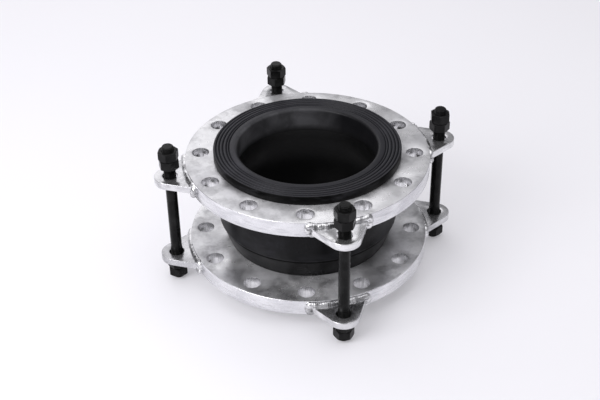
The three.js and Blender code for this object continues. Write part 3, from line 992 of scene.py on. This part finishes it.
# ---------------------------------------------------------------------------------------------------
# Control rods and nuts
# ---------------------------------------------------------------------------------------------------


def thread_radius(angle, z):
    """Radius of a right-hand thread at an angle and height: flat crests, flat roots, straight flanks."""
    phase = (z / THREAD_PITCH - angle / math.tau) % 1.0
    from_crest = abs(phase - 0.5) * 2
    fall = min(max((from_crest - THREAD_CREST_SHARE) / THREAD_FLANK_SHARE, 0.0), 1.0)
    return THREAD_RADIUS - THREAD_DEPTH * fall


def rod_heights():
    """Heights of the rod's rows: close together along the threads, and far apart along the shank."""
    row = THREAD_PITCH / THREAD_ROWS
    lower_rows = int(LOWER_THREAD_LENGTH / row)
    upper_rows = int(UPPER_THREAD_LENGTH / row)
    lower = [ROD_LOW.z + i * row for i in range(lower_rows + 1)]
    upper = [ROD_HIGH.z - (upper_rows - i) * row for i in range(upper_rows + 1)]
    shank_length = upper[0] - lower[-1]
    shank = [lower[-1] + shank_length * i / SHANK_STEPS for i in range(1, SHANK_STEPS)]
    return lower + shank + upper


def rod_outline(angle):
    """A double-end stud: threads that run out into a plain shank, and chamfered ends."""
    outline = []
    lower_end = ROD_LOW.z + LOWER_THREAD_LENGTH
    upper_end = ROD_HIGH.z - UPPER_THREAD_LENGTH
    for z in rod_heights():
        into_thread = max(lower_end - z, z - upper_end)
        cut = smoothstep(into_thread / THREAD_FADE)
        radius = SHANK_RADIUS + (thread_radius(angle, z) - SHANK_RADIUS) * cut
        from_end = min(z - ROD_LOW.z, ROD_HIGH.z - z)
        outline.append((min(radius, THREAD_RADIUS - ROD_END_CHAMFER + from_end), z))
    return outline


def nut_outline_at(low, high):
    """Outline of a hexagon nut at any angle: the chamfers cut its corners back in curves."""
    flat = NUT_ACROSS_FLATS / 2
    bore = NUT_BORE_RADIUS
    sink = NUT_COUNTERSINK

    def outline(angle):
        from_flat = angle % (math.tau / 6) - math.tau / 12
        side = flat / math.cos(from_flat)
        drop = (side - NUT_FACE_RADIUS) * math.tan(NUT_CHAMFER_ANGLE)
        is_corner = side > flat * NUT_CORNER_FROM
        worn = side - NUT_CORNER_WEAR if is_corner else side
        return [
            (bore, low + sink),
            (bore + sink, low),
            (NUT_FACE_RADIUS, low),
            (worn, low + drop),
            (worn, high - drop),
            (NUT_FACE_RADIUS, high),
            (bore + sink, high),
            (bore, high - sink),
        ]
    return outline


def build_rods():
    for index in range(RODS):
        number = index + 1
        turn = index / RODS * math.tau
        axis = Matrix.Translation(polar(ROD_CIRCLE_RADIUS, turn, 0.0))
        vertices, faces = spindle(rod_outline, ROD_SEGMENTS)
        rod = make_object(f"threaded_rod_{number}", moved(vertices, axis), faces, sharp_degrees=40)
        dress(rod, BLACK, [f"control_rod_{number}"])
        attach(rod, f"control_rod_{number}")
        for level, kind in enumerate(NUT_KINDS):
            low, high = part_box(f"{kind}_{number}")
            vertices, faces = revolve(nut_outline_at(low.z, high.z), NUT_SEGMENTS)
            tightened = NUT_FIRST_TURN + index * NUT_TURN_PER_ROD + level * NUT_TURN_PER_LEVEL
            placed = axis @ Matrix.Rotation(tightened, 4, "Z")
            nut = make_object(f"{kind}_hex_{number}", moved(vertices, placed), faces, sharp_degrees=24)
            dress(nut, BLACK, [f"{kind}_{number}"])
            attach(nut, f"{kind}_{number}")


# ---------------------------------------------------------------------------------------------------
# Camera, floor and light
# ---------------------------------------------------------------------------------------------------

CAMERA_TARGET = Vector((-0.0132, 0.0031, 0.1152))
CAMERA_AZIMUTH = math.radians(-13.2)
CAMERA_ELEVATION = math.radians(34.42)
CAMERA_ROLL = math.radians(-0.96)
CAMERA_DISTANCE = 1.955
CAMERA_LENS = 68.81
FLOOR_WIDTH = 12.0


def build_camera():
    data = bpy.data.cameras.new("camera")
    data.lens = CAMERA_LENS
    data.sensor_width = 36
    camera = bpy.data.objects.new("camera", data)
    bpy.context.scene.collection.objects.link(camera)
    back = Vector((
        math.sin(CAMERA_AZIMUTH) * math.cos(CAMERA_ELEVATION),
        -math.cos(CAMERA_AZIMUTH) * math.cos(CAMERA_ELEVATION),
        math.sin(CAMERA_ELEVATION),
    ))
    facing = back.to_track_quat("Z", "Y").to_matrix().to_4x4()
    place = Matrix.Translation(CAMERA_TARGET + back * CAMERA_DISTANCE)
    camera.matrix_world = place @ facing @ Matrix.Rotation(CAMERA_ROLL, 4, "Z")
    bpy.context.scene.camera = camera


def build_floor():
    half = FLOOR_WIDTH / 2
    corners = [(-half, -half, 0.0), (half, -half, 0.0), (half, half, 0.0), (-half, half, 0.0)]
    floor = make_object("floor", corners, [(0, 1, 2, 3)])
    shader = Shader("floor_looks")
    shader.set("Base Color", (0.66, 0.655, 0.68, 1.0))
    shader.set("Emission Color", (0.975, 0.965, 1.0, 1.0))
    shader.set("Emission Strength", 0.26)
    shader.set("Roughness", 0.6)
    shader.set("Specular IOR Level", 0.2)
    floor.data.materials.append(shader.material)


def softbox(name, place, target, width, height, power):
    """A rectangular lamp at a place, facing a target, in metres and watts."""
    data = bpy.data.lights.new(name, "AREA")
    data.shape = "RECTANGLE"
    data.size = width
    data.size_y = height
    data.energy = power
    data.color = (0.985, 0.975, 1.0)
    lamp = bpy.data.objects.new(name, data)
    bpy.context.scene.collection.objects.link(lamp)
    lamp.location = place
    lamp.rotation_euler = (Vector(place) - Vector(target)).to_track_quat("Z", "Y").to_euler()


def build_light():
    world = bpy.data.worlds.new("studio")
    bpy.context.scene.world = world
    world.use_nodes = True
    world.node_tree.nodes["Background"].inputs["Color"].default_value = (0.965, 0.96, 1.0, 1.0)
    world.node_tree.nodes["Background"].inputs["Strength"].default_value = 0.32
    softbox("key_softbox", (-1.8, -0.9, 1.6), (0, 0, 0.1), 1.5, 1.5, 37)
    softbox("glint_lamp", (-1.3, -1.3, 1.9), (0, 0, 0.1), 0.22, 0.22, 1.4)
    softbox("overhead_softbox", (0.25, 0.0, 2.6), (0.1, 0, 0.1), 3.4, 3.4, 42)
    softbox("backdrop_softbox", (-0.60, 2.3, 1.6), (0, 0, 0.2), 2.6, 2.0, 13.9)
    bpy.context.scene.view_settings.view_transform = "Standard"


build_camera()
build_floor()
build_light()
build_bellows()
build_steel_ends()
build_rods()
